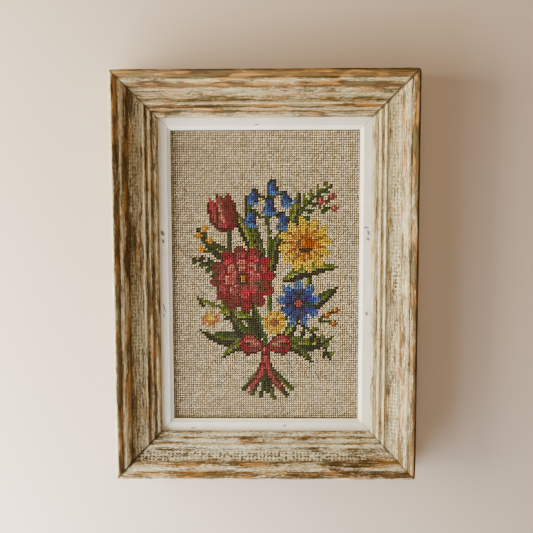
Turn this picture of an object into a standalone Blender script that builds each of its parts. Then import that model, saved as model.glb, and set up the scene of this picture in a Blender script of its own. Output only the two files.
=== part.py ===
"""A needlepoint canvas panel in a deep limed-wood picture frame with a white inner slip.

The panel is upright: +Z is up, +X runs to the viewer's right and the front faces -Y. The wall is the
plane y = 0, and the origin is the middle of the top bar's flat back, where the wall holds the frame.
"""

import math

import bmesh
import bpy
from mathutils import Matrix, Vector

MM = 0.001

# Driving dimensions, in metres
FRAME_WIDTH = 0.338
FRAME_HEIGHT = 0.456
PIECE_GAP = 0.0003
ARC_STEPS = 6

# The moulding's section, in millimetres. It starts at the foot of the outer side, and each row ends
# one run of it: (run, in from the outer side, off the wall, crown: + bulges out and - hollows)
MOULDING_RUNS = (
    ("outer side", 0.0, 33.5, 0.0),
    ("outer arris", 2.6, 37.0, 0.7),
    ("outer band", 8.0, 34.6, 0.4),
    ("band step", 8.2, 33.8, 0.0),
    ("fillet", 12.0, 33.2, 0.2),
    ("fall", 17.2, 28.2, 0.4),
    ("fall step", 17.8, 26.6, 0.0),
    ("cove", 31.2, 22.0, -2.4),
    ("ridge", 33.6, 22.0, 0.6),
    ("ridge step", 34.0, 19.8, 0.0),
    ("groove", 37.8, 19.0, -0.3),
    ("bead", 42.0, 18.4, 1.4),
    ("bead step", 42.4, 17.0, 0.0),
    ("quirk", 44.8, 16.6, 0.0),
    ("inner bead", 49.0, 14.5, 0.9),
    ("sight edge", 49.0, 11.0, 0.0),
    ("rebate roof", 42.0, 11.0, 0.0),
    ("rebate wall", 42.0, 0.0, 0.0),
)

# The slip's section, the same way, in from its own outer edge and off its own back
SLIP_RUNS = (
    ("outer edge", 0.0, 5.0, 0.0),
    ("flat", 16.2, 5.0, 0.0),
    ("bevel", 20.2, 2.5, -0.3),
    ("inner edge", 20.2, 0.0, 0.0),
)
SLIP_BACK = 5.7 * MM  # off the wall
REBATE_WALL = MOULDING_RUNS[-1][1] * MM  # in from the outer side of the frame

# The stitched canvas
CANVAS_THICKNESS = 0.002
CANVAS_SIDE_CLEARANCE = 0.001  # between its cut edge and the rebate wall
CANVAS_SQUARES = (18, 26)
COCKLE = 0.0005  # how far the stretched canvas waves in the opening

# (material, base colour, roughness)
MATERIALS = {
    "limed_wood": ((0.36, 0.25, 0.14), 0.75),
    "white_paint": ((0.76, 0.73, 0.69), 0.55),
    "wool_canvas": ((0.46, 0.38, 0.25), 0.95),
}

# (bar, turn about Y from the bottom bar)
BARS = (("bottom", 0), ("left", 90), ("top", 180), ("right", 270))

PICTURE_CENTRE = Vector((0.0, 0.0, REBATE_WALL / 2 - FRAME_HEIGHT / 2))


def clear_scene():
    for obj in list(bpy.data.objects):
        bpy.data.objects.remove(obj, do_unlink=True)


def new_material(name):
    colour, roughness = MATERIALS[name]
    material = bpy.data.materials.new(name)
    material.use_nodes = True
    shader = material.node_tree.nodes["Principled BSDF"]
    shader.inputs["Base Color"].default_value = (*colour, 1.0)
    shader.inputs["Roughness"].default_value = roughness
    shader.inputs["Metallic"].default_value = 0.0
    return material


def arc(start, end, crown):
    """Points after start up to end, on the arc whose middle stands crown off the chord."""
    chord = end - start
    if not crown:
        return [end]
    radius = (chord.length_squared / 4 + crown * crown) / (2 * abs(crown))
    half_angle = math.asin(min(1.0, chord.length / 2 / radius))
    # Left of the chord is the outside of a section that runs from the outer side to the sight edge
    out = Vector((-chord.y, chord.x)).normalized() * math.copysign(1.0, crown)
    centre = (start + end) / 2 - out * (radius - abs(crown))
    along = chord.normalized()
    angles = [half_angle * (2 * i / ARC_STEPS - 1) for i in range(1, ARC_STEPS + 1)]
    return [centre + (out * math.cos(a) + along * math.sin(a)) * radius for a in angles]


def section(runs):
    """A closed outline, in metres, from a table of runs that starts at its lower outer corner."""
    points = [Vector((0.0, 0.0))]
    for _, inward, height, crown in runs:
        end = Vector((inward, height)) * MM
        points += arc(points[-1], end, crown * MM)
    return points


def extruded(name, outline, length):
    """A mesh of the outline run along its local Z, with welded caps."""
    curve = bpy.data.curves.new(name, "CURVE")
    curve.dimensions = "2D"
    curve.fill_mode = "BOTH"
    curve.extrude = length / 2
    spline = curve.splines.new("POLY")
    spline.points.add(len(outline) - 1)
    for point, place in zip(spline.points, outline):
        point.co = (place.x, place.y, 0.0, 1.0)
    spline.use_cyclic_u = True
    guide = bpy.data.objects.new(name, curve)
    bpy.context.scene.collection.objects.link(guide)
    graph = bpy.context.evaluated_depsgraph_get()
    mesh = bpy.data.meshes.new_from_object(guide.evaluated_get(graph))
    bpy.data.objects.remove(guide)
    shape = bmesh.new()
    shape.from_mesh(mesh)
    bmesh.ops.remove_doubles(shape, verts=shape.verts, dist=0.00001)
    shape.to_mesh(mesh)
    shape.free()
    return mesh


def mitre(mesh, length):
    """Cuts both ends at 45 degrees, each half a gap short of the corner's diagonal."""
    shape = bmesh.new()
    shape.from_mesh(mesh)
    for end in (-1, 1):
        normal = Vector((1.0, 0.0, end)).normalized()
        place = Vector((0.0, 0.0, end * length / 2)) - normal * PIECE_GAP / 2
        everything = [*shape.verts, *shape.edges, *shape.faces]
        cut = bmesh.ops.bisect_plane(
            shape, geom=everything, plane_co=place, plane_no=normal, clear_outer=True
        )
        rim = [g for g in cut["geom_cut"] if isinstance(g, bmesh.types.BMEdge)]
        bmesh.ops.holes_fill(shape, edges=rim, sides=0)
    bmesh.ops.recalc_face_normals(shape, faces=shape.faces)
    shape.to_mesh(mesh)
    shape.free()


def add_part(name, mesh, material, parts):
    mesh.name = name
    mesh.materials.clear()
    mesh.materials.append(material)
    part = bpy.data.objects.new(name, mesh)
    parts.objects.link(part)
    return part


def four_bars(prefix, runs, width, height, back, material, parts):
    """Four mitred bars round a rectangle, their backs at the given distance off the wall."""
    outline = section(runs)
    # The section's X points into the picture, its Y off the wall and its Z along the bar
    upright = Matrix(((0, 0, 1), (0, -1, 0), (1, 0, 0))).to_4x4()
    for side, turn in BARS:
        across = side in ("top", "bottom")
        length = width if across else height
        reach = (height if across else width) / 2
        mesh = extruded(f"{prefix}_{side}", outline, length)
        mitre(mesh, length)
        bar = add_part(f"{prefix}_{side}", mesh, material, parts)
        turned = Matrix.Rotation(math.radians(turn), 4, "Y")
        stood = Matrix.Translation(Vector((0.0, -back, -reach)))
        bar.matrix_world = Matrix.Translation(PICTURE_CENTRE) @ turned @ stood @ upright
        mesh.shade_smooth()
        mesh.set_sharp_from_angle(angle=math.radians(30))


def cockle(across, up):
    """How far the canvas stands forward at a place from -1 to 1 each way: nothing at its edges."""
    fade = max(0.0, 1 - (across / 0.8) ** 4) * max(0.0, 1 - (up / 0.86) ** 4)
    wave = math.sin(2.3 * across + 1.1 * up + 0.4) + 0.6 * math.sin(3.1 * up - 1.7 * across)
    return COCKLE * fade * wave / 1.6


def canvas_panel(material, parts):
    """The stitched canvas: one stretched sheet whose cut margin runs behind the slip."""
    inset = REBATE_WALL + CANVAS_SIDE_CLEARANCE
    half_width, half_height = FRAME_WIDTH / 2 - inset, FRAME_HEIGHT / 2 - inset
    front = SLIP_BACK - PIECE_GAP
    mesh = bpy.data.meshes.new("needlepoint_canvas")
    shape = bmesh.new()
    columns, rows = CANVAS_SQUARES
    bmesh.ops.create_grid(shape, x_segments=columns, y_segments=rows, size=1.0)
    for vertex in shape.verts:
        across, up, _ = vertex.co
        forward = front + cockle(across, up)
        vertex.co = Vector((across * half_width, -forward, up * half_height))
    bmesh.ops.recalc_face_normals(shape, faces=shape.faces)
    if sum(face.normal.y for face in shape.faces) > 0:
        bmesh.ops.reverse_faces(shape, faces=shape.faces)
    shape.to_mesh(mesh)
    shape.free()
    panel = add_part("needlepoint_canvas", mesh, material, parts)
    panel.location = PICTURE_CENTRE
    thick = panel.modifiers.new("thickness", "SOLIDIFY")
    thick.thickness = CANVAS_THICKNESS
    thick.offset = -1.0
    mesh.shade_smooth()


def main():
    clear_scene()
    parts = bpy.data.collections.new("framed_needlepoint_panel")
    bpy.context.scene.collection.children.link(parts)
    wood, paint, wool = (new_material(name) for name in MATERIALS)
    four_bars("frame", MOULDING_RUNS, FRAME_WIDTH, FRAME_HEIGHT, 0.0, wood, parts)
    slip_inset = 2 * (REBATE_WALL + PIECE_GAP)
    slip_size = (FRAME_WIDTH - slip_inset, FRAME_HEIGHT - slip_inset)
    four_bars("slip", SLIP_RUNS, *slip_size, SLIP_BACK, paint, parts)
    canvas_panel(wool, parts)


main()
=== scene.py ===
"""The looks of a framed needlepoint panel: the limed and worn moulding, the painted slip, the canvas and
every stitch of wool on it, with the loops on its back."""

import math

import bpy
import numpy as np
from mathutils import Matrix, Vector


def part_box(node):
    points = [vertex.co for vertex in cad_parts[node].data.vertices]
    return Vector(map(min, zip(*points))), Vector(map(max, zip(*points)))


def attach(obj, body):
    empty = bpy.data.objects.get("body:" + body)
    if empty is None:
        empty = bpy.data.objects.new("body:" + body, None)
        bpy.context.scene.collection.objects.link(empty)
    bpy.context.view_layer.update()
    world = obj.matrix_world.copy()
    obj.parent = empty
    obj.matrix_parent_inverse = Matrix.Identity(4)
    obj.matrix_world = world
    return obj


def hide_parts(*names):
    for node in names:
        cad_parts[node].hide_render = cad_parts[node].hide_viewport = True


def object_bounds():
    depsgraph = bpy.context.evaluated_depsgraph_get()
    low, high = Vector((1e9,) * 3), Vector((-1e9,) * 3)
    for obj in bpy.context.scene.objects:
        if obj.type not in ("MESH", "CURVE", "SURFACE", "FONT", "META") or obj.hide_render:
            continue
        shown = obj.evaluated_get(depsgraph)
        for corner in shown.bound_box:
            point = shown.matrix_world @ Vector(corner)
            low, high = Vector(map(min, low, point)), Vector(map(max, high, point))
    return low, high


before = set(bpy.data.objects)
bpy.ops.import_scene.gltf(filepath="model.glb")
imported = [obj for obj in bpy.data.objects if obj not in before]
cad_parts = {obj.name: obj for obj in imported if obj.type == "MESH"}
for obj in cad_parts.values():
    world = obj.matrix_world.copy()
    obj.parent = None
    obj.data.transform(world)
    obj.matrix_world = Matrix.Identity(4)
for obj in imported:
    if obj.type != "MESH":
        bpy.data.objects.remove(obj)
CAD_LOW, CAD_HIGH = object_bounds()

BODY = "root"
MM = 0.001

# ---- sizes, in millimetres unless named

CENTRE_X = (CAD_LOW.x + CAD_HIGH.x) / 2
CENTRE_Z = (CAD_LOW.z + CAD_HIGH.z) / 2
WALL_Y = CAD_HIGH.y
FRAME_WIDTH = (CAD_HIGH.x - CAD_LOW.x) / MM
FRAME_HEIGHT = (CAD_HIGH.z - CAD_LOW.z) / MM

# The moulding's section, from the foot of its outer side round to its back:
# (run, in from the outer side, off the wall, crown: + bulges out and - hollows)
MOULDING_RUNS = (
    ("outer side", 0.0, 33.5, 0.0),
    ("outer arris", 2.6, 37.0, 0.7),
    ("outer band", 8.0, 34.6, 0.4),
    ("band step", 8.2, 33.8, 0.0),
    ("fillet", 12.0, 33.2, 0.2),
    ("fall", 17.2, 28.2, 0.4),
    ("fall step", 17.8, 26.6, 0.0),
    ("cove", 33.0, 21.2, -1.7),
    ("ridge", 35.8, 20.8, 0.8),
    ("ridge step", 36.2, 19.4, 0.0),
    ("groove", 38.2, 19.0, -0.1),
    ("bead", 42.0, 18.4, 0.8),
    ("bead step", 42.4, 17.0, 0.0),
    ("quirk", 44.8, 16.6, 0.0),
    ("inner bead", 49.0, 14.5, 0.9),
    ("sight edge", 49.0, 11.0, 0.0),
    ("rebate roof", 42.0, 11.0, 0.0),
    ("rebate wall", 42.0, 0.0, 0.0),
    ("back", 0.0, 0.0, 0.0),
)
BARE_RUNS = ("rebate roof", "rebate wall", "back", "underside")
COARSE_RUNS = ("outer side", "sight edge", *BARE_RUNS)
ARRIS_FOOT = MOULDING_RUNS[0][2]
SIGHT_EDGE, SIGHT_TOP = 49.0, 14.5
MOULDING_SPACING, MOULDING_STEP = (0.6, 2.5), 2.2  # round the section, fine and coarse, and along the bar

# What is left of the finish across the moulding:
# (in from the outer side, lime wash left on the wood, dirt and painted shade darkening its corners and
# steps)
WASH_ACROSS = (
    (-34.0, 0.42, 0.3), (-0.5, 0.52, 0.1), (1.2, 0.38, 0.1), (2.6, 0.22, 0.1),
    (5.0, 0.17, 0.2), (7.6, 0.20, 0.4), (8.8, 0.25, 0.5), (10.0, 0.42, 0.1),
    (11.4, 0.60, 0.0), (12.6, 0.54, 0.0), (13.7, 0.40, 0.1), (14.8, 0.27, 0.2),
    (16.8, 0.21, 0.5), (17.9, 0.24, 0.8), (19.0, 0.42, 0.2), (20.6, 0.50, 0.0),
    (22.6, 0.46, 0.1), (24.4, 0.54, 0.0), (26.6, 0.55, 0.0), (28.6, 0.50, 0.0),
    (30.8, 0.39, 0.3), (32.8, 0.48, 0.2), (34.2, 0.66, 0.0), (35.6, 0.56, 0.1),
    (36.4, 0.36, 0.7), (37.6, 0.34, 0.4), (39.0, 0.44, 0.1), (40.0, 0.54, 0.0),
    (41.0, 0.62, 0.0), (42.1, 0.44, 0.3), (42.9, 0.30, 0.8), (44.2, 0.42, 0.3),
    (45.6, 0.56, 0.0), (47.2, 0.56, 0.0), (49.0, 0.54, 0.3), (52.5, 0.30, 0.8),
)

CORNER_WEAR = 5.0  # radius of the frame's outer corners
COMB = 1.35  # between the teeth of the comb that scored the cove
NICKS = (4.2, 3.1)  # between nicks in the cove, along and across

# (bar, turn about Y from the bottom bar, how pitted, how broken and how chalky its wash is, with the chalk
# on the bottom bar also a painted cool light from below, how much more lime it has all over and on its
# outer arris, the arris lime a painted highlight where it is above 0 and a painted shade where it is below,
# gap at its two mitres)
BARS = (
    ("bottom", 0, 1.30, 1.30, 1.0, 0.06, -0.06, 0.80, 0.35),
    ("left", 90, 0.45, 0.90, 0.0, -0.02, 0.60, 0.35, 0.80),
    ("top", 180, 0.10, 0.70, 0.0, -0.06, 0.00, 0.80, 0.35),
    ("right", 270, 0.55, 1.00, 0.1, 0.09, -0.40, 0.35, 0.80),
)

# The slip's section, the same way, off its own back
SLIP_RUNS = (
    ("outer edge", 0.0, 5.0, 0.0),
    ("flat", 16.0, 5.0, 0.0),
    ("shoulder", 16.4, 4.8, 0.1),
    ("bevel", 20.2, 2.5, -0.3),
    ("inner edge", 20.2, 0.0, 0.0),
    ("underside", 0.0, 0.0, 0.0),
)
SLIP_SPACING, SLIP_STEP = (0.9, 5.0), 1.6
SLIP_GAP = 0.15
SLIP_LIP = 6.7  # how much of the slip's width the moulding covers
MITRE_LOSS = 0.4  # what its open mitres take off the length of a slip bar
SLIP_LOW, SLIP_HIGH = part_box("slip_bottom")
SLIP_BACK = -SLIP_HIGH[1] / MM
SLIP_WIDTH = (SLIP_HIGH[0] - SLIP_LOW[0]) / MM + MITRE_LOSS
SLIP_HEIGHT = SLIP_WIDTH + FRAME_HEIGHT - FRAME_WIDTH

# The canvas and its stitches
CANVAS_LOW, CANVAS_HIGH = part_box("needlepoint_canvas")
CANVAS_WIDTH = (CANVAS_HIGH[0] - CANVAS_LOW[0]) / MM
CANVAS_HEIGHT = (CANVAS_HIGH[2] - CANVAS_LOW[2]) / MM
CANVAS_MIDDLE = 4.4  # off the wall
CANVAS_THICKNESS = 0.3
CANVAS_CELLS = (42, 62)
FRAY = 0.4
COCKLE = 0.5
STITCH = (2.54, 2.60)  # across and up
CHART_COLUMNS, CHART_ROWS = 88, 131
WOOL_HALF_WIDTH = 0.80
WOOL_HALF_HEIGHT = 0.48
THREAD_WANDER, HOLE_WANDER = 0.22, 0.08
PLUMP_SPREAD, LIFT_SPREAD, SWAY_SPREAD, TONE_SPREAD = 0.07, 0.06, 0.09, 0.20
LIFT_MOST = 1.08
GROUND_BANDS = 3


# ---- finishes

class Wire:
    """A value or a colour on its way through a material, which sums and products add nodes to."""

    def __init__(self, finish, socket):
        self.finish, self.socket = finish, socket

    def _math(self, operation, first, second=0.0):
        made = self.finish.node("Math", {"operation": operation}, {0: first, 1: second})
        return Wire(self.finish, made.outputs[0])

    def __add__(self, other):
        return self._math("ADD", self, other)

    def __sub__(self, other):
        return self._math("SUBTRACT", self, other)

    def __rsub__(self, other):
        return self._math("SUBTRACT", other, self)

    def __mul__(self, other):
        return self._math("MULTIPLY", self, other)

    __radd__, __rmul__ = __add__, __mul__

    def sine(self):
        return self._math("SINE", self)

    def wave(self):
        """The sine, brought to 0 to 1."""
        return self.sine() * 0.5 + 0.5

    def size(self):
        return self._math("ABSOLUTE", self)

    def step(self, low, high):
        """0 below low and 1 above high, with a soft rise between."""
        made = self.finish.node(
            "MapRange",
            {"interpolation_type": "SMOOTHSTEP"},
            {"Value": self, "From Min": low, "From Max": high},
        )
        return Wire(self.finish, made.outputs["Result"])


class Finish:
    """A material and the nodes that give it its pattern."""

    def __init__(self, name, roughness=0.8, specular=0.5):
        self.material = bpy.data.materials.new(name)
        self.material.use_nodes = True
        self.tree = self.material.node_tree
        self.shader = self.tree.nodes["Principled BSDF"]
        self.shader.inputs["Roughness"].default_value = roughness
        self.shader.inputs["Specular IOR Level"].default_value = specular

    def feed(self, socket, value):
        if isinstance(value, Wire):
            self.tree.links.new(value.socket, socket)
        elif isinstance(value, tuple) and socket.type == "RGBA":
            socket.default_value = (*value, 1.0)
        else:
            socket.default_value = value

    def node(self, kind, settings=None, sockets=None):
        """Adds a node: first its settings or its ramp's stops, then its sockets' values or links."""
        made = self.tree.nodes.new("ShaderNode" + kind)
        for name, value in (settings or {}).items():
            if name == "stops":
                self._stops(made.color_ramp.elements, value)
            else:
                setattr(made, name, value)
        for name, value in (sockets or {}).items():
            self.feed(made.inputs[name], value)
        return made

    def _stops(self, elements, stops):
        while len(elements) < len(stops):
            elements.new(1.0)
        for element, (place, colour) in zip(elements, stops):
            element.position, element.color = place, (*colour, 1.0)

    def attribute(self, name, output="Fac"):
        return Wire(self, self.node("Attribute", {"attribute_name": name}).outputs[output])

    def scaled(self, vector, factors, shift=(0.0, 0.0, 0.0)):
        """A place stretched along its own axes, as a pattern is along the grain."""
        made = self.node("VectorMath", {"operation": "MULTIPLY_ADD"}, {0: vector, 1: factors, 2: shift})
        return Wire(self, made.outputs[0])

    def part(self, vector, axis):
        return Wire(self, self.node("SeparateXYZ", None, {0: vector}).outputs[axis])

    def noise(self, place, scale=1.0, detail=2.0, roughness=0.5, shift=(0.0, 0.0, 0.0)):
        """Cloudy values round 0.5. Three scales stretch them along the place's axes."""
        if isinstance(scale, tuple):
            place, scale = self.scaled(place, scale, shift), 1.0
        sockets = {"Vector": place, "Scale": scale, "Detail": detail, "Roughness": roughness}
        return Wire(self, self.node("TexNoise", None, sockets).outputs["Fac"])

    def spots(self, place, scale, size):
        """1 in the middle of scattered round spots and 0 outside them."""
        made = self.node("TexVoronoi", None, {"Vector": place, "Scale": scale})
        return 1.0 - Wire(self, made.outputs["Distance"]).step(size * 0.6, size)

    def ramp(self, value, stops):
        return Wire(self, self.node("ValToRGB", {"stops": stops}, {0: value}).outputs["Color"])

    def mix(self, share, first, second, blend="MIX"):
        settings = {"data_type": "RGBA", "blend_type": blend}
        made = self.node("Mix", settings, {0: share, 6: first, 7: second})
        return Wire(self, made.outputs[2])

    def bump(self, height, depth):
        """Relief of so many millimetres, into the shader's normal."""
        made = self.node("Bump", None, {"Height": height, "Distance": depth * MM})
        self.feed(self.shader.inputs["Normal"], Wire(self, made.outputs[0]))


def limed_wood():
    """Brown wood under a lime wash, rubbed back along the grain and on its edges."""
    wood = Finish("limed_wood", specular=0.18)
    place = wood.attribute("grain", "Vector")
    lime, dirt, pits, broken = (wood.attribute(name) for name in ("lime", "dirt", "pits", "broken"))
    along, across = wood.part(place, "X"), wood.part(place, "Y")
    streak = wood.noise(place, (0.06, 1.0, 0.4), 5.0, 0.68)
    comb = wood.noise(place, (0.025, 2.2, 0.6), shift=(40.0, 3.0, 0.0))
    speck = wood.noise(place, (0.26, 1.35, 1.0), 4.0, 0.72)
    patch = wood.noise(place, (0.022, 0.09, 0.1), shift=(0.0, 9.0, 0.0))
    shade = (streak - 0.5) * 1.3 + (speck - 0.5) + (patch - 0.5) * 0.9 + (comb - 0.5) * 0.6
    cover = (lime + shade * broken).step(0.28, 0.62)
    brown = wood.ramp(
        streak * 0.4 + comb * 0.25 + patch * 0.35,
        (
            (0.40, (0.036, 0.016, 0.005)),
            (0.48, (0.078, 0.038, 0.012)),
            (0.55, (0.150, 0.073, 0.021)),
            (0.63, (0.340, 0.165, 0.042)),
        ),
    )
    # Old stain comes up orange in long patches, and green-grey in others
    warm = wood.noise(place, (0.028, 0.22, 0.2), 3.0, shift=(11.0, 30.0, 0.0))
    brown = wood.mix(warm.step(0.50, 0.62) * 0.75, brown, (0.350, 0.175, 0.050))
    brown = wood.mix((1.0 - warm).step(0.50, 0.62) * 0.6, brown, (0.100, 0.080, 0.034))
    wash = wood.ramp(
        speck * 0.4 + comb * 0.2 + streak * 0.4,
        (
            (0.40, (0.200, 0.152, 0.082)),
            (0.50, (0.355, 0.288, 0.172)),
            (0.60, (0.660, 0.575, 0.400)),
        ),
    )
    wash = wood.mix((1.0 - warm).step(0.50, 0.64) * 0.4, wash, (0.370, 0.345, 0.230))
    # Chalky flecks whiten the wash; on the bottom bar they are also a painted cool light from below
    chalky_and_lit = (speck - 0.47).step(0.0, 0.08) * wood.attribute("chalk")
    wash = wood.mix(chalky_and_lit * 0.8, wash, (0.70, 0.68, 0.57))
    colour = wood.mix(cover, brown, wash)
    # Dirt darkens the wood, together with painted shade in the steps and corners and on an outer arris that
    # faces away from the light
    grime_and_shade = (dirt * (0.2 + speck * 1.2)).step(0.15, 0.9) * 0.75
    colour = wood.mix(grime_and_shade, colour, (0.070, 0.036, 0.013))
    # Nicks in rows, where the cove was combed both ways
    wavy = (streak - 0.5) * 4.0
    columns = (along * (math.tau / NICKS[0]) + wavy).wave()
    rows = (across * (math.tau / NICKS[1]) + wavy).wave()
    uneven = wood.noise(place, (0.30, 0.45, 0.3), 3.0, shift=(0.0, 70.0, 0.0))
    nicks = (columns * rows + (uneven - 0.5) * 3.2).step(0.30, 0.50) * pits
    colour = wood.mix(nicks * 0.94, colour, (0.048, 0.037, 0.017))
    worm = wood.spots(wood.scaled(place, (1.0, 1.0, 0.0)), 0.075, 0.045)
    colour = wood.mix(worm, colour, (0.02, 0.012, 0.006))
    wood.feed(wood.shader.inputs["Base Color"], colour)
    wood.feed(wood.shader.inputs["Roughness"], 0.66 + cover * 0.24)
    wood.bump(cover * 0.3 + streak * 0.3 + speck * 0.6 + comb * 0.4 - worm * 1.5 - nicks * 0.9, 0.4)
    return wood.material


def bare_wood():
    """Old unpainted softwood, browned where the air has reached it."""
    wood = Finish("bare_wood", specular=0.25)
    place = wood.attribute("grain", "Vector")
    rings = wood.noise(place, (0.006, 0.32, 0.32), 3.0, 0.55)
    fibre = wood.noise(place, (0.05, 2.2, 2.2), 3.0)
    stain = wood.noise(place, 0.02, 3.0)
    lines = (rings * 46.0).wave()
    colour = wood.ramp(
        lines * 0.55 + fibre * 0.45,
        ((0.2, (0.20, 0.115, 0.050)), (0.55, (0.34, 0.215, 0.105)), (0.85, (0.46, 0.32, 0.175))),
    )
    colour = wood.mix(stain.step(0.42, 0.7) * 0.55, colour, (0.15, 0.085, 0.040))
    wood.feed(wood.shader.inputs["Base Color"], colour)
    wood.feed(wood.shader.inputs["Roughness"], 0.68 + fibre * 0.22)
    wood.bump(lines * 0.35 + fibre * 0.65, 0.2)
    return wood.material


def white_paint():
    """Brushed matt white, rubbed grey in a few places and tan along the line under the moulding and its
    inner edge; its inner edge face is painted dark as painted shade.
    """
    paint = Finish("white_paint", specular=0.35)
    place = paint.attribute("grain", "Vector")
    scuff, edge = paint.attribute("scuff"), paint.attribute("edge")
    brush = paint.noise(place, (0.03, 1.4, 1.4), 3.0, 0.6)
    cloud = paint.noise(place, 0.05)
    grit = paint.noise(place, 0.9)
    colour = paint.mix(
        (brush * 0.5 + cloud * 0.5).step(0.38, 0.62), (0.775, 0.755, 0.715), (0.845, 0.835, 0.805)
    )
    colour = paint.mix((edge * (0.5 + grit)).step(0.35, 1.1) * 0.5, colour, (0.52, 0.46, 0.37))
    colour = paint.mix((scuff * (0.5 + grit)).step(0.3, 0.7), colour, (0.17, 0.165, 0.185))
    # seam: painted shade on the inner edge face, and the dark mitre joints
    colour = paint.mix(paint.attribute("seam"), colour, (0.045, 0.032, 0.020))
    paint.feed(paint.shader.inputs["Base Color"], colour)
    paint.feed(paint.shader.inputs["Roughness"], 0.52 + brush * 0.2)
    paint.bump(brush * 0.6 + grit * 0.4, 0.26)
    return paint.material


def canvas_cotton():
    """Stiff tan canvas: pairs of threads each way, with a hole between them painted near black as painted
    shade.
    """
    cotton = Finish("canvas_cotton", roughness=0.9)
    place = cotton.attribute("weave", "Vector")
    over, up = cotton.part(place, "X"), cotton.part(place, "Y")
    warp = (over * math.pi).sine().size()
    weft = (up * math.pi).sine().size()
    thread = (warp * 0.5 + weft * 0.5).step(0.12, 0.45)
    fibre = cotton.noise(place, 9.0)
    colour = cotton.mix(fibre, (0.16, 0.115, 0.065), (0.30, 0.225, 0.135))
    # The holes between the threads are painted near black: painted shade, as the sheet has none cut in it
    colour = cotton.mix(thread, (0.018, 0.012, 0.007), colour)
    # Painted shade: the canvas between the stitches is darkened, not the margin behind the slip
    colour = cotton.mix(cotton.attribute("worked") * 0.78, colour, (0.012, 0.008, 0.005))
    cotton.feed(cotton.shader.inputs["Base Color"], colour)
    pairs = (over * 4 * math.pi).sine() * weft + (up * 4 * math.pi).sine() * warp
    cotton.bump(thread + pairs * 0.25 + fibre * 0.2, 0.3)
    return cotton.material


def wool(skein, colour):
    """Tapestry wool: plies turned round each other, with dyed and undyed hairs mixed in, and painted shade
    at its ends and in the grooves between its plies.
    """
    yarn = Finish(f"wool_{skein}", roughness=0.95, specular=0.02)
    place = yarn.attribute("ply", "Vector")
    tone = yarn.attribute("tone")
    along, around = yarn.part(place, "X"), yarn.part(place, "Y")
    twist = ((along * 1.9 + around) * (2 * math.tau)).wave()
    hairs = yarn.noise(yarn.scaled(place, (3.0, 7.0, 90.0)), 2.0, 3.0, 0.65)
    # 0 at each stitch's ends, where painted shade darkens the wool, and 1 along its middle
    end_shade_fade = (along * (1.0 - along) * 4.0).step(0.05, 0.72)
    dark = tuple(c * 0.52 for c in colour)
    pale = tuple(min(0.95, c * 1.3 + 0.002) for c in colour)
    # The twist darkens the grooves between the plies as painted shade; tone and hairs are the wool's own
    shade = tone * 0.62 + hairs * 0.32 + twist * 0.2
    base = yarn.mix(shade.step(0.2, 0.92), dark, pale)
    base = yarn.mix(end_shade_fade, tuple(c * 0.14 for c in colour), base)
    yarn.feed(yarn.shader.inputs["Base Color"], base)
    yarn.bump(twist * 0.7 + hairs * 0.5, 0.22)
    return yarn.material


def plain(name, colour):
    """An even matt finish with a faint mottle, and a mask of the side that it shows its back on."""
    coat = Finish(name, roughness=0.9)
    geometry = coat.node("NewGeometry")
    mottle = coat.noise(Wire(coat, geometry.outputs["Position"]), 3.0)
    base = coat.mix(mottle, tuple(c * 0.97 for c in colour), colour)
    coat.feed(coat.shader.inputs["Base Color"], base)
    return coat, Wire(coat, geometry.outputs["Backfacing"])


# ---- shapes

LATTICE = 512


def wobble(x, y, seed):
    """Smooth noise from -1 to 1 over arrays of places, on a lattice of unit squares."""
    table = np.random.default_rng(seed).uniform(-1, 1, (LATTICE, LATTICE))
    column, row = np.floor(x).astype(int), np.floor(y).astype(int)
    across, up = x - column, y - row
    across, up = across * across * (3 - 2 * across), up * up * (3 - 2 * up)

    def corner(i, j):
        return table[(column + i) % LATTICE, (row + j) % LATTICE]

    low = corner(0, 0) * (1 - across) + corner(1, 0) * across
    high = corner(0, 1) * (1 - across) + corner(1, 1) * across
    return low * (1 - up) + high * up


def put(name, data):
    """A new thing in the scene."""
    made = bpy.data.objects.new(name, data)
    bpy.context.scene.collection.objects.link(made)
    return made


def make_piece(name, points, faces, finishes, face_finish=None, attributes=None, sharp=None):
    """A piece from its points, in metres, and its faces."""
    mesh = bpy.data.meshes.new(name)
    mesh.from_pydata(points, [], faces)
    for finish in finishes:
        mesh.materials.append(finish)
    if face_finish is not None:
        mesh.polygons.foreach_set("material_index", face_finish)
    for label, values in (attributes or {}).items():
        kind, field = ("FLOAT", "value") if values.ndim == 1 else ("FLOAT_VECTOR", "vector")
        made = mesh.attributes.new(label, kind, "POINT")
        made.data.foreach_set(field, values.astype(np.float32).ravel())
    mesh.shade_smooth()
    if sharp is not None:
        mesh.set_sharp_from_angle(angle=math.radians(sharp))
    return put(name, mesh)


def outline(runs, fine, coarse):
    """Points round a section, about so far apart, and which of them end a bare run's step."""
    points, bare = [np.array((0.0, 0.0))], []
    for run, inward, height, crown in runs:
        start, end = points[-1], np.array((inward, height))
        chord = end - start
        length = np.hypot(*chord)
        outward = np.array((-chord[1], chord[0])) / length
        steps = max(1, round(length / (coarse if run in COARSE_RUNS else fine)))
        for i in range(1, steps + 1):
            t = i / steps
            points.append(start + chord * t + outward * crown * 4 * t * (1 - t))
            bare.append(run in BARE_RUNS)
    # The last run ends where the first began, so its last point is left out
    return np.array(points[:-1]), np.array(bare)


def stand(along, across, off, turn, reach):
    """Turns places on a bottom bar into places in the picture, in metres."""
    up = across - reach
    a = math.radians(turn)
    x = along * math.cos(a) + up * math.sin(a)
    z = -along * math.sin(a) + up * math.cos(a)
    return np.stack([CENTRE_X + x * MM, WALL_Y - off * MM, CENTRE_Z + z * MM], axis=-1).reshape(-1, 3)


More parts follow.
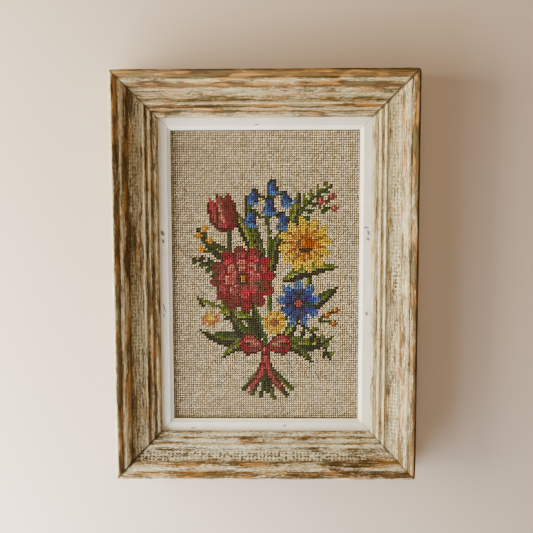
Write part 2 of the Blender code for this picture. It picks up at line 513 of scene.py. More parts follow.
class Bar:
    """A mitred length of a section: places along it, in from its outer side and off its back."""

    def __init__(self, side, turn, width, height, runs, spacing, step, gaps):
        self.turn = turn
        flat = side in ("top", "bottom")
        self.length = width if flat else height
        self.reach = (height if flat else width) / 2
        section, bare = outline(runs, *spacing)
        way = np.roll(section, -1, axis=0) - np.roll(section, 1, axis=0)
        self.normals = np.stack([-way[:, 1], way[:, 0]], axis=1) / np.hypot(*way.T)[:, None]
        columns, ring = round(self.length / step), len(section)
        share = np.linspace(-1, 1, columns + 1)[:, None]
        reach = self.length / 2 - section[None, :, 0]
        low, high = (reach - gap / math.sqrt(2) for gap in gaps)
        self.along = np.where(share < 0, share * low, share * high)
        self.across = np.broadcast_to(section[:, 0], self.along.shape)
        self.off = np.broadcast_to(section[:, 1], self.along.shape)
        first, row = np.arange(columns)[:, None] * ring, np.arange(ring)[None, :]
        start, turned = (first + row).ravel(), (first + (row + 1) % ring).ravel()
        self.faces = np.stack([start, turned, turned + ring, start + ring], axis=1).tolist()
        self.faces.append(list(range(ring))[::-1])
        self.faces.append([columns * ring + i for i in range(ring)])
        self.bare = np.append(np.tile(bare, columns), [bare[-1]] * 2).astype(np.int32)

    def to_mitre(self, along, across):
        return self.length / 2 - across - abs(along)

    def piece(self, name, places, relief, finishes, attributes, sharp):
        """The bar as a piece, with its relief worked into the places given for it."""
        along, across, off = places
        across, off = across + relief * self.normals[:, 0], off + relief * self.normals[:, 1]
        points = stand(along, across, off, self.turn, self.reach)
        flat = {name: values.reshape(-1, *values.shape[2:]) for name, values in attributes.items()}
        return make_piece(name, points, self.faces, finishes, self.bare, flat, sharp)


def moulding_bar(side, turn, pitted, broken, chalk, more_lime, arris_highlight_and_shade, gap_start, gap_end, finishes):
    """One length of the moulding, worked by hand: combed, pitted, worn at its edges and limed."""
    gaps = (gap_start, gap_end)
    bar = Bar(side, turn, FRAME_WIDTH, FRAME_HEIGHT, MOULDING_RUNS, MOULDING_SPACING, MOULDING_STEP, gaps)
    along, across, off = bar.along, bar.across, bar.off
    front = (off > 11.5) & (across < SIGHT_EDGE + 0.5)
    seed = 10 * turn + 5
    # The outer side's grain is laid out past the arris, as if it were folded flat
    unrolled = np.where(across <= 0.01, off - ARRIS_FOOT, across)
    sight = (across > SIGHT_EDGE - 0.1) & (off < SIGHT_TOP)
    unrolled = np.where(sight, SIGHT_EDGE + SIGHT_TOP - off, unrolled)

    sway = wobble(along / 70, unrolled / 9, seed)
    ripple = wobble(along / 13, unrolled / 1.3, seed + 1)
    grit = wobble(along / 2.6, unrolled / 1.2, seed + 2)
    patch = wobble(along / 42, unrolled / 7, seed + 3)
    streak = wobble(along / 24, unrolled / 0.8, seed + 4)
    # The third column of WASH_ACROSS is dirt together with painted shade in the moulding's steps and
    # corners
    places, limes, dirt_and_shade_across = np.array(WASH_ACROSS).T
    wander = unrolled + 0.35 * wobble(along / 30, unrolled / 12, seed + 5)
    lime, dirt = np.interp(wander, places, limes), np.interp(wander, places, dirt_and_shade_across)
    # On the outer arris, added lime is a painted highlight on the side the light falls on, and added dirt a
    # painted shade on the side away from it
    outer = np.exp(-(((unrolled - 1.2) / 2.1) ** 2))
    dirt = dirt + max(0.0, -arris_highlight_and_shade) * outer * 1.8
    lime = lime + more_lime + arris_highlight_and_shade * outer + broken * (0.10 * patch + 0.08 * streak + 0.05 * ripple)
    in_cove = np.clip((unrolled - 17.5) / 2, 0, 1) * np.clip((31.5 - unrolled) / 5, 0, 1)
    pits = in_cove * np.clip(pitted * (1.0 + 0.9 * patch), 0, 1)
    to_mitre = bar.to_mitre(along, across)
    lime = lime + 0.20 * np.exp(-np.maximum(to_mitre, 0) / 7) * (0.6 + patch)

    hollow = np.clip(wobble(along / 2.3, unrolled / 1.7, seed + 6) - 0.25, 0, 1)
    combed = np.cos(math.tau * (unrolled + 0.3 * sway) / COMB) * in_cove
    arris = np.exp(-(((unrolled - 1.6) / 1.8) ** 2))
    chips = np.clip(wobble(along / 6, unrolled / 3, seed + 7) - 0.45, 0, 1) * arris
    relief = 0.16 * sway + 0.08 * ripple + 0.05 * grit + 0.07 * combed + 0.10 * np.clip(lime, 0, 1)
    relief = relief - 0.55 * hollow * pits - 0.7 * chips - 0.05 * arris * (1 + patch)
    relief = np.where(front | (off > 1) & (across < 0.01), relief, 0.0)
    gap = np.where(along < 0, gap_start, gap_end)
    dirt = dirt + 2.6 * gap * np.exp(-np.maximum(to_mitre - gap, 0) / 0.5)
    relief = relief * (0.35 + 0.65 * np.clip(to_mitre / 1.5, 0, 1))
    relief = np.where((across > 41) & (off < SIGHT_TOP + 0.1), np.minimum(relief, 0.05), relief)
    # The frame's outer corners are worn round
    inward = np.clip(bar.length / 2 - abs(along), CORNER_WEAR * (1 - math.sqrt(0.5)), None)
    left_over = np.clip(CORNER_WEAR - inward, 0, CORNER_WEAR)
    rounded = CORNER_WEAR - np.sqrt(CORNER_WEAR**2 - left_over**2)
    along = np.sign(along) * (bar.length / 2 - inward)
    across = np.maximum(across, rounded)

    attributes = {
        "grain": np.stack([along + 700 * (turn + 1), unrolled, off * 0.2], axis=-1),
        "lime": lime,
        "dirt": dirt,
        "pits": pits,
        "broken": np.full(lime.shape, broken),
        "chalk": np.full(lime.shape, chalk),
    }
    return bar.piece(f"moulding_{side}", (along, across, off), relief, finishes, attributes, sharp=38)


# Rubs and knocks on the slip: (bar, along from its middle, in from the sight edge, length, width)
SCUFFS = (
    ("left", -50.0, 3.6, 3.4, 2.6),
    ("left", -41.0, 4.2, 2.6, 1.8),
    ("left", 36.0, 4.6, 7.0, 0.9),
    ("left", 44.0, 4.0, 3.4, 0.8),
    ("right", 50.0, 3.2, 4.0, 1.7),
    ("right", 43.0, 3.6, 2.4, 2.0),
    ("right", 56.0, 6.4, 1.2, 5.0),
    ("right", -42.0, 4.6, 3.0, 1.9),
    ("top", 9.0, 8.0, 3.6, 0.9),
    ("bottom", 22.0, 6.0, 2.2, 1.4),
    ("bottom", -84.0, 3.0, 3.0, 1.0),
)


def slip_bar(side, turn, finishes):
    """One length of the painted slip, with its eased edges, brush marks and rubs."""
    gaps = (SLIP_GAP, SLIP_GAP)
    bar = Bar(side, turn, SLIP_WIDTH, SLIP_HEIGHT, SLIP_RUNS, SLIP_SPACING, SLIP_STEP, gaps)
    along, across, off = bar.along, bar.across, bar.off
    seed = 900 + turn
    shown = across - SLIP_LIP
    scuff = np.zeros_like(along)
    for rubbed, place, inward, long, wide in SCUFFS:
        if rubbed == side:
            slant = shown - inward - 0.25 * (along - place)
            away = ((along - place) / long) ** 2 + (slant / wide) ** 2
            scuff = np.maximum(scuff, np.exp(-away))
    # Painted shade darkens the slip's inner edge face over the stitches, and its mitres are dark where they
    # meet
    seam = ((across > 20.1) & (off < 2.4)) * 1.0
    relief = 0.05 * wobble(along / 40, across / 4, seed)
    relief = relief + 0.03 * wobble(along / 6, across, seed + 1)
    relief = np.where((off > 2.6) & (across > 7.5), relief - 0.12 * scuff, 0.0)
    attributes = {
        "grain": np.stack([along + 500 * (turn + 1), across, off], axis=-1),
        "scuff": scuff,
        "edge": np.exp(-abs(shown) / 0.8) + 0.5 * np.exp(-abs(shown - 13.5) / 0.5),
        "seam": np.maximum(seam, 0.3 * np.exp(-(bar.to_mitre(along, across) / 0.35))),
    }
    places = (along, across, SLIP_BACK + off)
    return bar.piece(f"painted_slip_{side}", places, relief, finishes, attributes, sharp=30)


def cockle(x, z):
    """How far the stretched canvas waves forward, in millimetres, at a place from the middle."""
    across, up = x / (CANVAS_WIDTH / 2), z / (CANVAS_HEIGHT / 2)
    fade = np.clip(1 - (across / 0.8) ** 4, 0, 1) * np.clip(1 - (up / 0.86) ** 4, 0, 1)
    wave = np.sin(2.3 * across + 1.1 * up + 0.4) + 0.6 * np.sin(3.1 * up - 1.7 * across)
    return COCKLE * fade * wave / 1.6


def canvas_cloth(finish):
    """The canvas itself: one thin woven sheet, its cut margin flat behind the slip."""
    columns, rows = CANVAS_CELLS
    x, z = np.meshgrid(
        np.linspace(-CANVAS_WIDTH / 2, CANVAS_WIDTH / 2, columns + 1),
        np.linspace(-CANVAS_HEIGHT / 2, CANVAS_HEIGHT / 2, rows + 1),
    )
    # The cut edge is a little uneven, where threads have come away
    ragged = FRAY * wobble(x / 7, z / 7, 77)
    x = np.where(abs(x) > CANVAS_WIDTH / 2 - 0.1, x - np.sign(x) * abs(ragged), x)
    z = np.where(abs(z) > CANVAS_HEIGHT / 2 - 0.1, z - np.sign(z) * abs(ragged), z)
    middle = CANVAS_MIDDLE + cockle(x, z)
    sides = []
    for half in (CANVAS_THICKNESS / 2, -CANVAS_THICKNESS / 2):
        sides.append(stand(x, z + CANVAS_HEIGHT / 2, middle + half, 0, CANVAS_HEIGHT / 2))
    count = (columns + 1) * (rows + 1)
    corner = (np.arange(rows)[:, None] * (columns + 1) + np.arange(columns)[None, :]).ravel()
    front = np.stack([corner, corner + 1, corner + columns + 2, corner + columns + 1], axis=1)
    rim = [*range(columns), *range(columns, count - 1, columns + 1)]
    rim += [*range(count - 1, count - 1 - columns, -1), *range(count - 1 - columns, 0, -columns - 1)]
    edge = [[b, a, a + count, b + count] for a, b in zip(rim, rim[1:] + rim[:1])]
    faces = front.tolist() + (front[:, ::-1] + count).tolist() + edge
    weave = np.stack([x / STITCH[0], z / STITCH[1] + 0.5, 0 * x], axis=-1).reshape(-1, 3)
    points = np.concatenate(sides)
    # Where the stitches lie, which is where the canvas gets its painted shade
    stitch_shade_area = (abs(x) < CHART_COLUMNS / 2 * STITCH[0] + 1) & (abs(z) < CHART_ROWS / 2 * STITCH[1] + 1)
    attributes = {"weave": np.concatenate([weave, weave]), "worked": np.tile(stitch_shade_area.ravel() * 1.0, 2)}
    return make_piece("canvas_cloth", points, faces, [finish], None, attributes, sharp=50)


# ---- the counted design

# (skein, colour of its wool)
SKEINS = (
    ("ground", (0.70, 0.575, 0.405)),
    ("deep_red", (0.070, 0.002, 0.008)),
    ("red", (0.19, 0.006, 0.018)),
    ("rose", (0.36, 0.038, 0.056)),
    ("pale_pink", (0.62, 0.19, 0.16)),
    ("yellow", (0.86, 0.52, 0.012)),
    ("ochre", (0.60, 0.22, 0.004)),
    ("rust", (0.30, 0.070, 0.010)),
    ("dark_brown", (0.035, 0.012, 0.006)),
    ("navy", (0.005, 0.008, 0.070)),
    ("blue", (0.012, 0.036, 0.21)),
    ("pale_blue", (0.052, 0.145, 0.43)),
    ("dark_green", (0.004, 0.013, 0.006)),
    ("green", (0.018, 0.050, 0.009)),
    ("olive", (0.085, 0.125, 0.014)),
    ("lime", (0.27, 0.31, 0.035)),
    ("cream", (0.80, 0.70, 0.46)),
)
SKEIN_NAMES = [name for name, _ in SKEINS]


class Chart:
    """Counted work: the skein of each square. Places are in stitches from the middle."""

    def __init__(self):
        self.skein = np.zeros((CHART_ROWS, CHART_COLUMNS), int)
        across = np.arange(CHART_COLUMNS) - (CHART_COLUMNS - 1) / 2
        up = np.arange(CHART_ROWS) - (CHART_ROWS - 1) / 2
        self.x, self.y = np.meshgrid(across, up)

    def fill(self, where, skein, *over):
        """Works squares in a skein, then those of them in each (mask, skein) of over."""
        self.skein[where] = SKEIN_NAMES.index(skein)
        for mask, other in over:
            self.skein[where & mask] = SKEIN_NAMES.index(other)

    def polar(self, x, y, turn=0.0):
        """Distance and angle of each square from a place; the angle counts from turn degrees."""
        right, above = self.x - x, self.y - y
        return np.hypot(right, above), np.arctan2(above, right) - math.radians(turn)

    def leaning(self, x, y, lean):
        """Places across and up from a foot, on axes that lean to the left by so many degrees."""
        a = math.radians(lean)
        right, above = self.x - x, self.y - y
        return right * math.cos(a) + above * math.sin(a), above * math.cos(a) - right * math.sin(a)

    def along(self, start, end, bend):
        """How far along a bent line each square lies, 0 to 1, and how far to its left."""
        start, end = np.array(start, float), np.array(end, float)
        chord = end - start
        left = np.array([-chord[1], chord[0]]) / np.hypot(*chord)
        best = np.full(self.x.shape, np.inf)
        share, off = np.zeros(self.x.shape), np.zeros(self.x.shape)
        for t in np.linspace(0, 1, 41):
            place = start + chord * t + left * bend * 4 * t * (1 - t)
            way = chord + left * bend * 4 * (1 - 2 * t)
            way /= np.hypot(*way)
            right, above = self.x - place[0], self.y - place[1]
            far = np.hypot(right, above)
            near = far < best
            best = np.where(near, far, best)
            share = np.where(near, t, share)
            off = np.where(near, np.copysign(far, way[0] * above - way[1] * right), off)
        return share, off


def stem(chart, start, end, bend=0.0, width=1.3, skein="green", lit=None):
    share, off = chart.along(start, end, bend)
    inside = (abs(off) < width / 2 + 0.25) & (share > 0.005) & (share < 0.995)
    chart.fill(inside, skein, (off > 0.1, lit or skein))


def leaf(chart, start, end, width, bend, light, vein):
    """A pointed blade, light on its upper side and veined down the middle."""
    share, off = chart.along(start, end, bend)
    half = width / 2 * np.sin(np.pi * share**0.8) ** 0.8
    inside = (abs(off) < half + 0.15) & (share > 0.01) & (share < 0.995)
    upper = off if end[0] >= start[0] else -off
    midrib = (abs(upper - 0.1) < 0.62) & (share < 0.82) & (share > 0.08)
    chart.fill(inside, "dark_green", (upper > -0.2, light), (midrib, vein))


def fern(chart, start, end, bend, pairs, length, skeins):
    """A sprig with a leaflet to each side in turn, shorter towards the tip."""
    stem(chart, start, end, bend, 0.9, skeins[0])
    start, end = np.array(start, float), np.array(end, float)
    chord = end - start
    forward = chord / np.hypot(*chord)
    left = np.array([-forward[1], forward[0]])
    for i in range(2 * pairs):
        t = 0.18 + 0.78 * i / (2 * pairs)
        root = start + chord * t + left * bend * 4 * t * (1 - t)
        side = left if i % 2 else -left
        tip = root + (side * 0.8 + forward * 0.6) * length * (1 - 0.55 * t)
        share, off = chart.along(root, tip, 0.0)
        chart.fill((abs(off) < 0.95 * np.sin(np.pi * share) + 0.1) & (share < 0.99), skeins[i % 2])


def daisy(chart, x, y, radius, petals, turn, skeins, eye):
    """Long blunt petals round a domed eye. skeins: the gaps between petals, their foot, petal, tip."""
    gap, foot, petal, tip = skeins
    away, angle = chart.polar(x, y, turn)
    lobe = abs(np.cos(petals * angle / 2))
    reach = radius * (0.66 + 0.34 * lobe**0.7)
    chart.fill(
        away < reach,
        petal,
        ((away > 0.78 * reach) & (lobe > 0.55), tip),
        (away < 0.56 * radius, foot),
        ((away < 0.62 * radius) & (away > 0.36 * radius) & (lobe > 0.93), petal),
        (lobe < 0.34, gap),
    )
    core, shadow, glint = eye
    chart.fill(away < 0.31 * radius, core, (chart.y - y < -0.12 * radius, shadow))
    away, _ = chart.polar(x - 0.08 * radius, y + 0.1 * radius)
    chart.fill(away < 0.11 * radius, glint)


def dahlia(chart, x, y, radius, turn):
    """Rings of pointed petals, each with a lighter tip on the side towards the light."""
    # (share of the radius, petals, half a petal's turn, edge, middle, tip)
    rings = (
        (1.00, 12, 0, "deep_red", "red", "red"),
        (0.78, 10, 1, "deep_red", "red", "rose"),
        (0.57, 8, 0, "red", "rose", "pale_pink"),
        (0.36, 6, 1, "red", "rose", "pale_pink"),
    )
    for size, petals, half, edge, middle, tip in rings:
        away, angle = chart.polar(x, y, turn + half * 180 / petals)
        lobe = abs(np.cos(petals * angle / 2))
        reach = radius * size * (0.80 + 0.20 * lobe)
        lit = (chart.y - y) - 0.6 * (chart.x - x) > -0.25 * radius * size
        tips = (away > 0.80 * reach) & (lobe > 0.5) & lit
        chart.fill(away < reach, middle, (tips, tip), ((lobe < 0.30) | (away < 0.62 * radius * size), edge))
    away, _ = chart.polar(x, y)
    chart.fill(away < 0.17 * radius, "deep_red", (away < 0.09 * radius, "ochre"))


def tulip(chart, x, y, width, height, lean):
    """A cup of three petals, standing on a place and leaning to the left by so many degrees."""
    across, up = chart.leaning(x, y, lean)
    up = up / height
    belly = width / 2 * np.sqrt(np.clip(up * 3.2, 0, 1)) * (1 - 0.16 * np.clip(up - 0.45, 0, 1) ** 1.2)
    side = np.clip(abs(across) / (width / 2), 0, 1.2)
    rim = 0.74 + 0.27 * np.sin(np.pi * np.clip(side - 0.28, 0, 1) / 0.72)
    cup = (up > 0) & (abs(across) < belly + 0.3) & (up < rim)
    flank = (across < -0.22 * width) & (across > -0.40 * width) & (up > 0.3)
    chart.fill(cup, "red", (side > 0.72, "deep_red"), (flank, "rose"))
    lip = 0.34 * width * np.sqrt(np.clip(1.02 - up, 0, 1))
    middle = (up > 0.02) & (up < 1.0) & (abs(across) < lip)
    glint = (abs(across + 0.06 * width) < 0.62) & (up > 0.25) & (up < 0.8)
    chart.fill(middle, "rose", (across > 0.06 * width, "red"), (glint, "pale_pink"))
    seam = (up > 0.1) & (up < 0.9) & (abs(abs(across) - lip) < 0.5)
    chart.fill(cup & (seam | (up < 0.12)), "deep_red")


def cornflower(chart, x, y, radius, turn):
    """A ragged head of forked florets, dark in the middle and pale at the forks."""
    florets = 9
    away, angle = chart.polar(x, y, turn)
    lobe = abs(np.cos(florets * angle / 2))
    fork = abs(np.cos(3 * florets * angle / 2))
    inside = away < radius * (0.52 + 0.36 * lobe + 0.14 * fork)
    chart.fill(inside, "blue", ((away > 0.66 * radius) & (fork > 0.5), "pale_blue"), (lobe < 0.38, "navy"))
    chart.fill(away < 0.44 * radius, "navy", ((away > 0.28 * radius) & (fork > 0.75), "blue"))
    chart.fill(away < 0.15 * radius, "rose")


def bellflower(chart, x, y, size, lean):
    """A hanging bell with a flared, pale mouth, under a dark cap."""
    across, up = chart.leaning(x, y, lean)
    down = -up / size
    half = size * (0.22 + 0.30 * np.clip(down, 0, 1) ** 1.6 + 0.10 * (down > 0.85))
    mouth = 1.02 + 0.12 * np.cos(across * 6 / size)
    inside = (down > -0.02) & (down < mouth) & (abs(across) < half + 0.2)
    lit = (across < -0.1 * size) & (across > -0.26 * size) & (down > 0.25)
    shaded, cap = (across > 0.16 * size, "navy"), (down < 0.14, "dark_green")
    chart.fill(inside, "blue", shaded, ((down > 0.80) | lit, "pale_blue"), cap)


def berries(chart, stalk, places, core, glint, radius=1.7):
    """Round berries with a glint, each on a short stalk."""
    for x, y in places:
        stem(chart, stalk, (x, y), 0.8, 0.6, "green")
    for x, y in places:
        away, _ = chart.polar(x, y)
        chart.fill(away < radius, core)
        away, _ = chart.polar(x - 0.6, y + 0.6)
        chart.fill(away < 0.75, glint)


def bow(chart, x, y):
    """A ribbon tied round the stems: two loops, a knot and two notched tails."""
    for side in (-1, 1):
        share, off = chart.along((x, y), (x + side * 9, y - 19), side * -2.2)
        tail = (abs(off) < 1.7) & (share > 0.03) & (share < 0.97 - 0.10 * (abs(off) < 0.6))
        chart.fill(tail, "rose", (off * side > 0.4, "red"), (abs(off) > 1.2, "deep_red"))
        share, off = chart.along((x, y), (x + side * 12, y + 3.2), side * 0.8)
        half = 4.4 * np.sin(np.pi * share**1.5) ** 0.75 + 0.5
        loop = (abs(off) < half) & (share > 0.02) & (share < 0.99)
        glint = (abs(off * side - 1.1) < 0.6) & (share > 0.35) & (share < 0.75)
        chart.fill(
            loop,
            "rose",
            (off * side < -0.6, "red"),
            (abs(off) > half - 1.1, "deep_red"),
            (glint, "pale_pink"),
            ((abs(off) < 0.7) & (share > 0.62) & (share < 0.9), "deep_red"),
        )
    away, _ = chart.polar(x, y)
    chart.fill(away < 2.6, "deep_red", (away < 1.7, "red"))
    away, _ = chart.polar(x - 0.6, y + 0.6)
    chart.fill(away < 0.8, "pale_pink")


# Where the ribbon ties the stems
TIE = (0, -33)

# (foot of the stem, where it meets the head, bend above the tie, skein, lit side)
STEMS = (
    ((10, -54), (-16, 22), 4, "dark_green", "green"),
    ((4, -56), (1, 26), -2, "green", "olive"),
    ((-2, -55), (16, 14), -4, "dark_green", "green"),
    ((-7, -54), (15, -14), -3, "green", "lime"),
    ((-11, -51), (22, 24), -7, "dark_green", "olive"),
    ((13, -51), (-24, 8), 5, "green", "olive"),
    ((1, -53), (-12, 0), 2, "dark_green", "green"),
)

# (root, tip, width, bend, light side, vein)
LEAVES = (
    ((-3, -26), (-31, -22), 6.5, 4, "green", "olive"),
    ((4, -26), (31, -27), 6.5, -4, "olive", "lime"),
    ((-6, -18), (-32, -8), 5.5, 3, "olive", "lime"),
    ((6, -16), (33, -4), 6.5, -3, "green", "olive"),
    ((-2, 4), (-31, 22), 6.0, 4, "green", "lime"),
    ((8, -2), (33, 4), 6.0, 2, "olive", "lime"),
    ((0, 8), (-8, 37), 5.0, 2, "green", "olive"),
    ((6, 12), (15, 38), 5.0, -2, "olive", "lime"),
    ((-2, -28), (-20, -37), 4.5, -2, "olive", "lime"),
    ((3, -28), (22, -39), 4.5, 2, "green", "olive"),
    ((-4, 6), (-23, 37), 4.5, -3, "olive", "lime"),
    ((-1, -30), (-16, -14), 5.5, 3, "green", "olive"),
    ((2, -30), (14, -16), 5.0, -3, "green", "lime"),
    ((0, -28), (-5, -12), 5.0, 1, "olive", "green"),
    ((3, 0), (9, 22), 5.0, 2, "green", "olive"),
)

# (where the bell hangs, size, lean, where its stalk leaves the stem)
BELLS = (
    ((3, 42), 6.0, 8, (2, 36)),
    ((-4, 38), 6.5, -18, (2, 34)),
    ((8, 37), 6.5, 20, (2, 32)),
    ((2, 34), 7.0, 0, (2, 36)),
    ((-5, 29), 7.0, -20, (1, 26)),
    ((7, 28), 7.5, 16, (1, 24)),
)


def posy():
    """A tied posy of garden flowers, worked from the back of the bunch to its front."""
    chart = Chart()
    for foot, head, bend, skein, lit in STEMS:
        waist = (TIE[0] - foot[0] / 8, TIE[1])
        stem(chart, waist, head, bend, 1.5, skein, lit)
        stem(chart, foot, waist, foot[0] / 8, 1.6, skein, lit)
    for row in LEAVES:
        leaf(chart, *row)
    fern(chart, (12, 22), (30, 40), 2, 5, 7, ("green", "olive"))
    fern(chart, (-14, -6), (-33, 8), -2, 5, 6, ("dark_green", "green"))
    fern(chart, (14, -20), (30, -38), 2, 4, 6, ("dark_green", "olive"))
    tulip(chart, -17, 20, 12.5, 15.5, 14)
    stem(chart, (1, 22), (3, 41), 1.0, 1.0, "dark_green", "green")
    for place, _, _, root in BELLS:
        stem(chart, root, place, 1.2, 0.8, "green")
    for place, size, lean, _ in BELLS:
        bellflower(chart, *place, size, lean)
    sunny = ("rust", "ochre", "yellow", "yellow")
    daisy(chart, 18, 14, 12.5, 12, 8, sunny, ("rust", "dark_brown", "ochre"))
    dahlia(chart, -10, -1, 15.0, 6)
    cornflower(chart, 15, -12, 10.5, 10)
    blush = ("ochre", "pale_pink", "cream", "cream")
    daisy(chart, -25, -19, 6.8, 8, 10, blush, ("yellow", "ochre", "yellow"))
    daisy(chart, 4, -20.5, 6.3, 8, 0, ("ochre", "yellow", "yellow", "cream"), ("rust", "rust", "ochre"))
    berries(chart, (-22, 12), ((-29, 12), (-25, 16), (-30, 18), (-27, 21)), "ochre", "yellow")
    berries(chart, (24, -20), ((28, -17), (32, -15), (31, -21)), "rust", "yellow")
    berries(chart, (26, 28), ((25, 33), (31, 30), (30, 35)), "rose", "pale_pink", 1.8)
    bow(chart, *TIE)
    return chart.skein


# ---- stitches

def yarn_template(rings, sides):
    """One closed loop of yarn: rings of a few sides between two tips. Returns shares and faces.

    rings: (share of the way along, half width, height of its middle), each as a share of the full."""
    shares, faces = [(0.0, 0.0, 0.0, 0.0)], []
    for way, width, lift in rings:
        for i in range(sides):
            a = math.tau * i / sides + math.pi / 2
            shares.append((way, width * math.cos(a), lift, width * math.sin(a)))
    shares.append((1.0, 0.0, 0.0, 0.0))
    last = len(shares) - 1
    for i in range(sides):
        j = (i + 1) % sides
        faces.append((0, 1 + j, 1 + i))
        faces.append((last, last - sides + i, last - sides + j))
    for r in range(len(rings) - 1):
        for i in range(sides):
            j = (i + 1) % sides
            low, high = 1 + r * sides, 1 + (r + 1) * sides
            faces.append((low + i, low + j, high + j, high + i))
    return np.array(shares), faces


FRONT_RINGS = ((0.20, 0.50, 0.15), (0.38, 1.0, 1.0), (0.62, 1.0, 1.0), (0.80, 0.50, 0.15))
REVERSE_RINGS = ((0.22, 0.95, 0.9), (0.78, 0.95, 0.9))


def hole(column, row):
    """The place of a hole in the canvas, whose threads run a little unevenly."""
    x = (column - CHART_COLUMNS / 2) * STITCH[0]
    z = (row - CHART_ROWS / 2) * STITCH[1]
    x = x + THREAD_WANDER * wobble(column / 9 + 3, row / 5, 31)
    z = z + THREAD_WANDER * wobble(column / 6, row / 8 + 5, 33)
    return x + HOLE_WANDER * wobble(column, row, 32), z + HOLE_WANDER * wobble(column, row, 34)


def yarns(template, start, end, plump, lift, sway, side):
    """Points of many loops at once: side is 1 for the front of the canvas and -1 for its back."""
    shares, _ = template
    (x0, z0), (x1, z1) = start, end
    dx, dz = x1 - x0, z1 - z0
    length = np.hypot(dx, dz)
    way, across, height, thick = (shares[None, :, k] for k in range(4))
    offset = across * WOOL_HALF_WIDTH * plump[:, None] + sway[:, None] * np.sin(np.pi * way)
    x = x0[:, None] + dx[:, None] * way - (dz / length)[:, None] * offset
    z = z0[:, None] + dz[:, None] * way + (dx / length)[:, None] * offset
    middle = (WOOL_HALF_HEIGHT + 0.02) * lift[:, None] * height
    off = CANVAS_MIDDLE + cockle(x, z) + side * (middle + thick * WOOL_HALF_HEIGHT * lift[:, None])
    return x, z, off


def stitch_pieces(skeins, materials):
    """Every tent stitch on the front and its longer slanting loop on the back, one piece a skein."""
    rows, columns = np.mgrid[0:CHART_ROWS, 0:CHART_COLUMNS]
    rows, columns, skeins = rows.ravel(), columns.ravel(), skeins.ravel()
    count = len(skeins)
    rng = np.random.default_rng(8)
    plump = 1 + PLUMP_SPREAD * rng.standard_normal(count)
    lift = np.minimum(1 + LIFT_SPREAD * rng.standard_normal(count), LIFT_MOST)
    sway = SWAY_SPREAD * rng.standard_normal(count)
    needleful = wobble(columns / 13 + 7.3 * rows, rows, 41)
    sunned = wobble(columns / 30, rows / 30, 42)
    tone = 0.5 + TONE_SPREAD * rng.standard_normal(count) + 0.15 * needleful + 0.08 * sunned
    seed = rng.uniform(0, 40, count)
    front, back = yarn_template(FRONT_RINGS, 5), yarn_template(REVERSE_RINGS, 4)
    low, high, far = hole(columns, rows), hole(columns + 1, rows + 1), hole(columns - 1, rows)
    # (the loop's shape, its places, which way its faces are listed)
    layers = (
        (front, yarns(front, low, high, plump, lift, sway, 1), 1),
        (back, yarns(back, high, far, plump, lift, sway, -1), -1),
    )
    pieces = []
    for index, (skein, _) in enumerate(SKEINS):
        bands = GROUND_BANDS if skein == "ground" else 1
        for band in range(bands):
            chosen = np.flatnonzero((skeins == index) & (rows * bands // CHART_ROWS == band))
            points, faces, ply, tones = [], [], [], []
            base = 0
            for (shares, loop_faces), (x, z, off), way in layers:
                up = z[chosen] + CANVAS_HEIGHT / 2
                points.append(stand(x[chosen], up, off[chosen], 0, CANVAS_HEIGHT / 2))
                size = len(shares)
                for at in range(base, base + size * len(chosen), size):
                    faces += [[at + i for i in face[::way]] for face in loop_faces]
                base += size * len(chosen)
                around = np.arctan2(shares[:, 3], shares[:, 1]) / math.tau
                laid = np.broadcast_arrays(shares[None, :, 0], around[None, :], seed[chosen][:, None])
                ply.append(np.stack(laid, axis=-1).reshape(-1, 3))
                tones.append(np.repeat(tone[chosen], size))
            name = f"wool_{skein}" if bands == 1 else f"wool_{skein}_{band + 1}"
            attributes = {"ply": np.concatenate(ply), "tone": np.concatenate(tones)}
            finishes = [materials[skein]]
            pieces.append(make_piece(name, np.concatenate(points), faces, finishes, None, attributes))
    return pieces


# ---- the room

CAMERA_DISTANCE, CAMERA_SIDE, CAMERA_RISE = 0.80, 0.0125, 0.079
CAMERA_PITCH, CAMERA_YAW, CAMERA_ROLL = 4.86, -0.81, -0.145
CAMERA_LENS = 47.1
FLOOR_DROP, FLOOR_SIZE = 0.75, 6.0
BACKDROP_GAP, BACKDROP_SIZE = 0.002, 1.3


def backdrop_and_floor():
    """A pale backdrop that only shows from the front, and a pale floor."""
    coat, behind = plain("pale_backdrop", (0.58, 0.48, 0.44))
    clear = coat.node("BsdfTransparent")
    switch = coat.node("MixShader", None, {0: behind})
    output = coat.tree.nodes["Material Output"]
    coat.tree.links.new(coat.shader.outputs[0], switch.inputs[1])
    coat.tree.links.new(clear.outputs[0], switch.inputs[2])
    coat.tree.links.new(switch.outputs[0], output.inputs["Surface"])
    place = (CENTRE_X, WALL_Y + BACKDROP_GAP, CENTRE_Z)
    bpy.ops.mesh.primitive_plane_add(size=BACKDROP_SIZE, location=place, rotation=(math.pi / 2, 0, 0))
    backdrop = bpy.context.object
    backdrop.name = "backdrop"
    backdrop.data.materials.append(coat.material)
    backdrop.visible_diffuse = backdrop.visible_glossy = False
    backdrop.visible_transmission = backdrop.visible_shadow = False
    bpy.ops.mesh.primitive_plane_add(size=FLOOR_SIZE, location=(0, 0, CAD_LOW.z - FLOOR_DROP))
    floor = bpy.context.object
    floor.name = "floor"
    floor.data.materials.append(plain("pale_floor", (0.78, 0.76, 0.73))[0].material)


# (light, place from the picture's middle, width, height, power in watts, colour)
LIGHTS = (
    ("left_softbox", (-0.90, -0.20, -0.04), 0.55, 0.80, 58.0, (1.0, 0.92, 0.66)),
    ("low_softbox", (-0.46, -0.22, -0.60), 0.50, 0.70, 17.0, (0.94, 1.0, 1.0)),
    ("front_fill", (0.2, -1.4, 0.8), 1.5, 1.5, 13.0, (1.0, 0.72, 0.40)),
    ("rear_softbox", (0.9, 1.4, 0.9), 1.4, 1.4, 34.0, (1.0, 0.97, 0.92)),
    ("rear_fill", (-1.2, 1.4, -0.2), 1.4, 1.4, 16.0, (1.0, 0.97, 0.92)),
)
WORLD_COLOUR, WORLD_LIGHT, WORLD_SEEN = (1.0, 0.84, 0.66), 0.06, 0.9


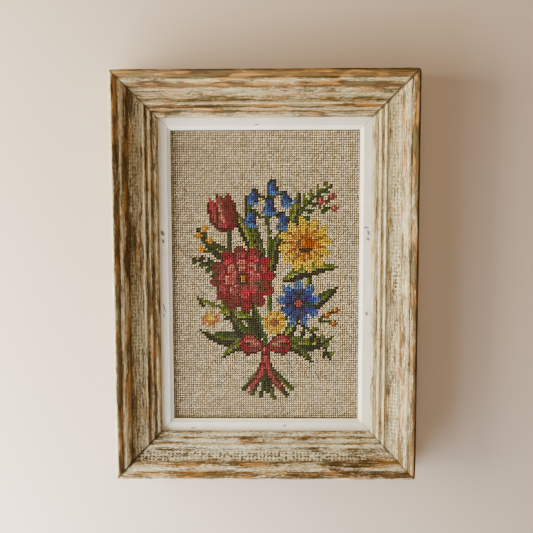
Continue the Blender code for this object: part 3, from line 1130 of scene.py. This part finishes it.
def lights():
    middle = Vector((CENTRE_X, WALL_Y, CENTRE_Z))
    for name, place, width, height, watts, colour in LIGHTS:
        lamp = bpy.data.lights.new(name, "AREA")
        lamp.shape = "RECTANGLE"
        lamp.size, lamp.size_y = width, height
        lamp.energy, lamp.color = watts, colour
        holder = put(name, lamp)
        holder.location = middle + Vector(place)
        holder.rotation_euler = (-Vector(place)).to_track_quat("-Z", "Y").to_euler()
    world = bpy.data.worlds.new("soft_room")
    world.use_nodes = True
    nodes, links = world.node_tree.nodes, world.node_tree.links
    shown, cast = nodes.new("ShaderNodeBackground"), nodes["Background"]
    switch = nodes.new("ShaderNodeMixShader")
    for sky, strength in ((shown, WORLD_SEEN), (cast, WORLD_LIGHT)):
        sky.inputs["Color"].default_value = (*WORLD_COLOUR, 1.0)
        sky.inputs["Strength"].default_value = strength
    links.new(nodes.new("ShaderNodeLightPath").outputs["Is Camera Ray"], switch.inputs[0])
    links.new(cast.outputs[0], switch.inputs[1])
    links.new(shown.outputs[0], switch.inputs[2])
    links.new(switch.outputs[0], nodes["World Output"].inputs["Surface"])
    bpy.context.scene.world = world


def camera():
    """Seen from a little above the panel's middle, looking slightly down."""
    lens = bpy.data.cameras.new("camera")
    lens.lens = CAMERA_LENS
    holder = put("camera", lens)
    place = Vector((CENTRE_X + CAMERA_SIDE, WALL_Y - CAMERA_DISTANCE, CENTRE_Z + CAMERA_RISE))
    holder.matrix_world = (
        Matrix.Translation(place)
        @ Matrix.Rotation(math.radians(-CAMERA_YAW), 4, "Z")
        @ Matrix.Rotation(math.radians(90 - CAMERA_PITCH), 4, "X")
        @ Matrix.Rotation(math.radians(CAMERA_ROLL), 4, "Z")
    )
    bpy.context.scene.camera = holder


# ---- making it

def main():
    wood, raw, paint = limed_wood(), bare_wood(), white_paint()
    for side, turn, *worked in BARS:
        bar = moulding_bar(side, turn, *worked, [wood, raw])
        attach(bar, BODY)
        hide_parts(f"frame_{side}")
        slip = slip_bar(side, turn, [paint, raw])
        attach(slip, BODY)
        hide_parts(f"slip_{side}")
    cloth = canvas_cloth(canvas_cotton())
    materials = {skein: wool(skein, colour) for skein, colour in SKEINS}
    stitches = stitch_pieces(posy(), materials)
    for piece in (cloth, *stitches):
        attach(piece, BODY)
    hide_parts("needlepoint_canvas")
    backdrop_and_floor()
    lights()
    camera()


main()
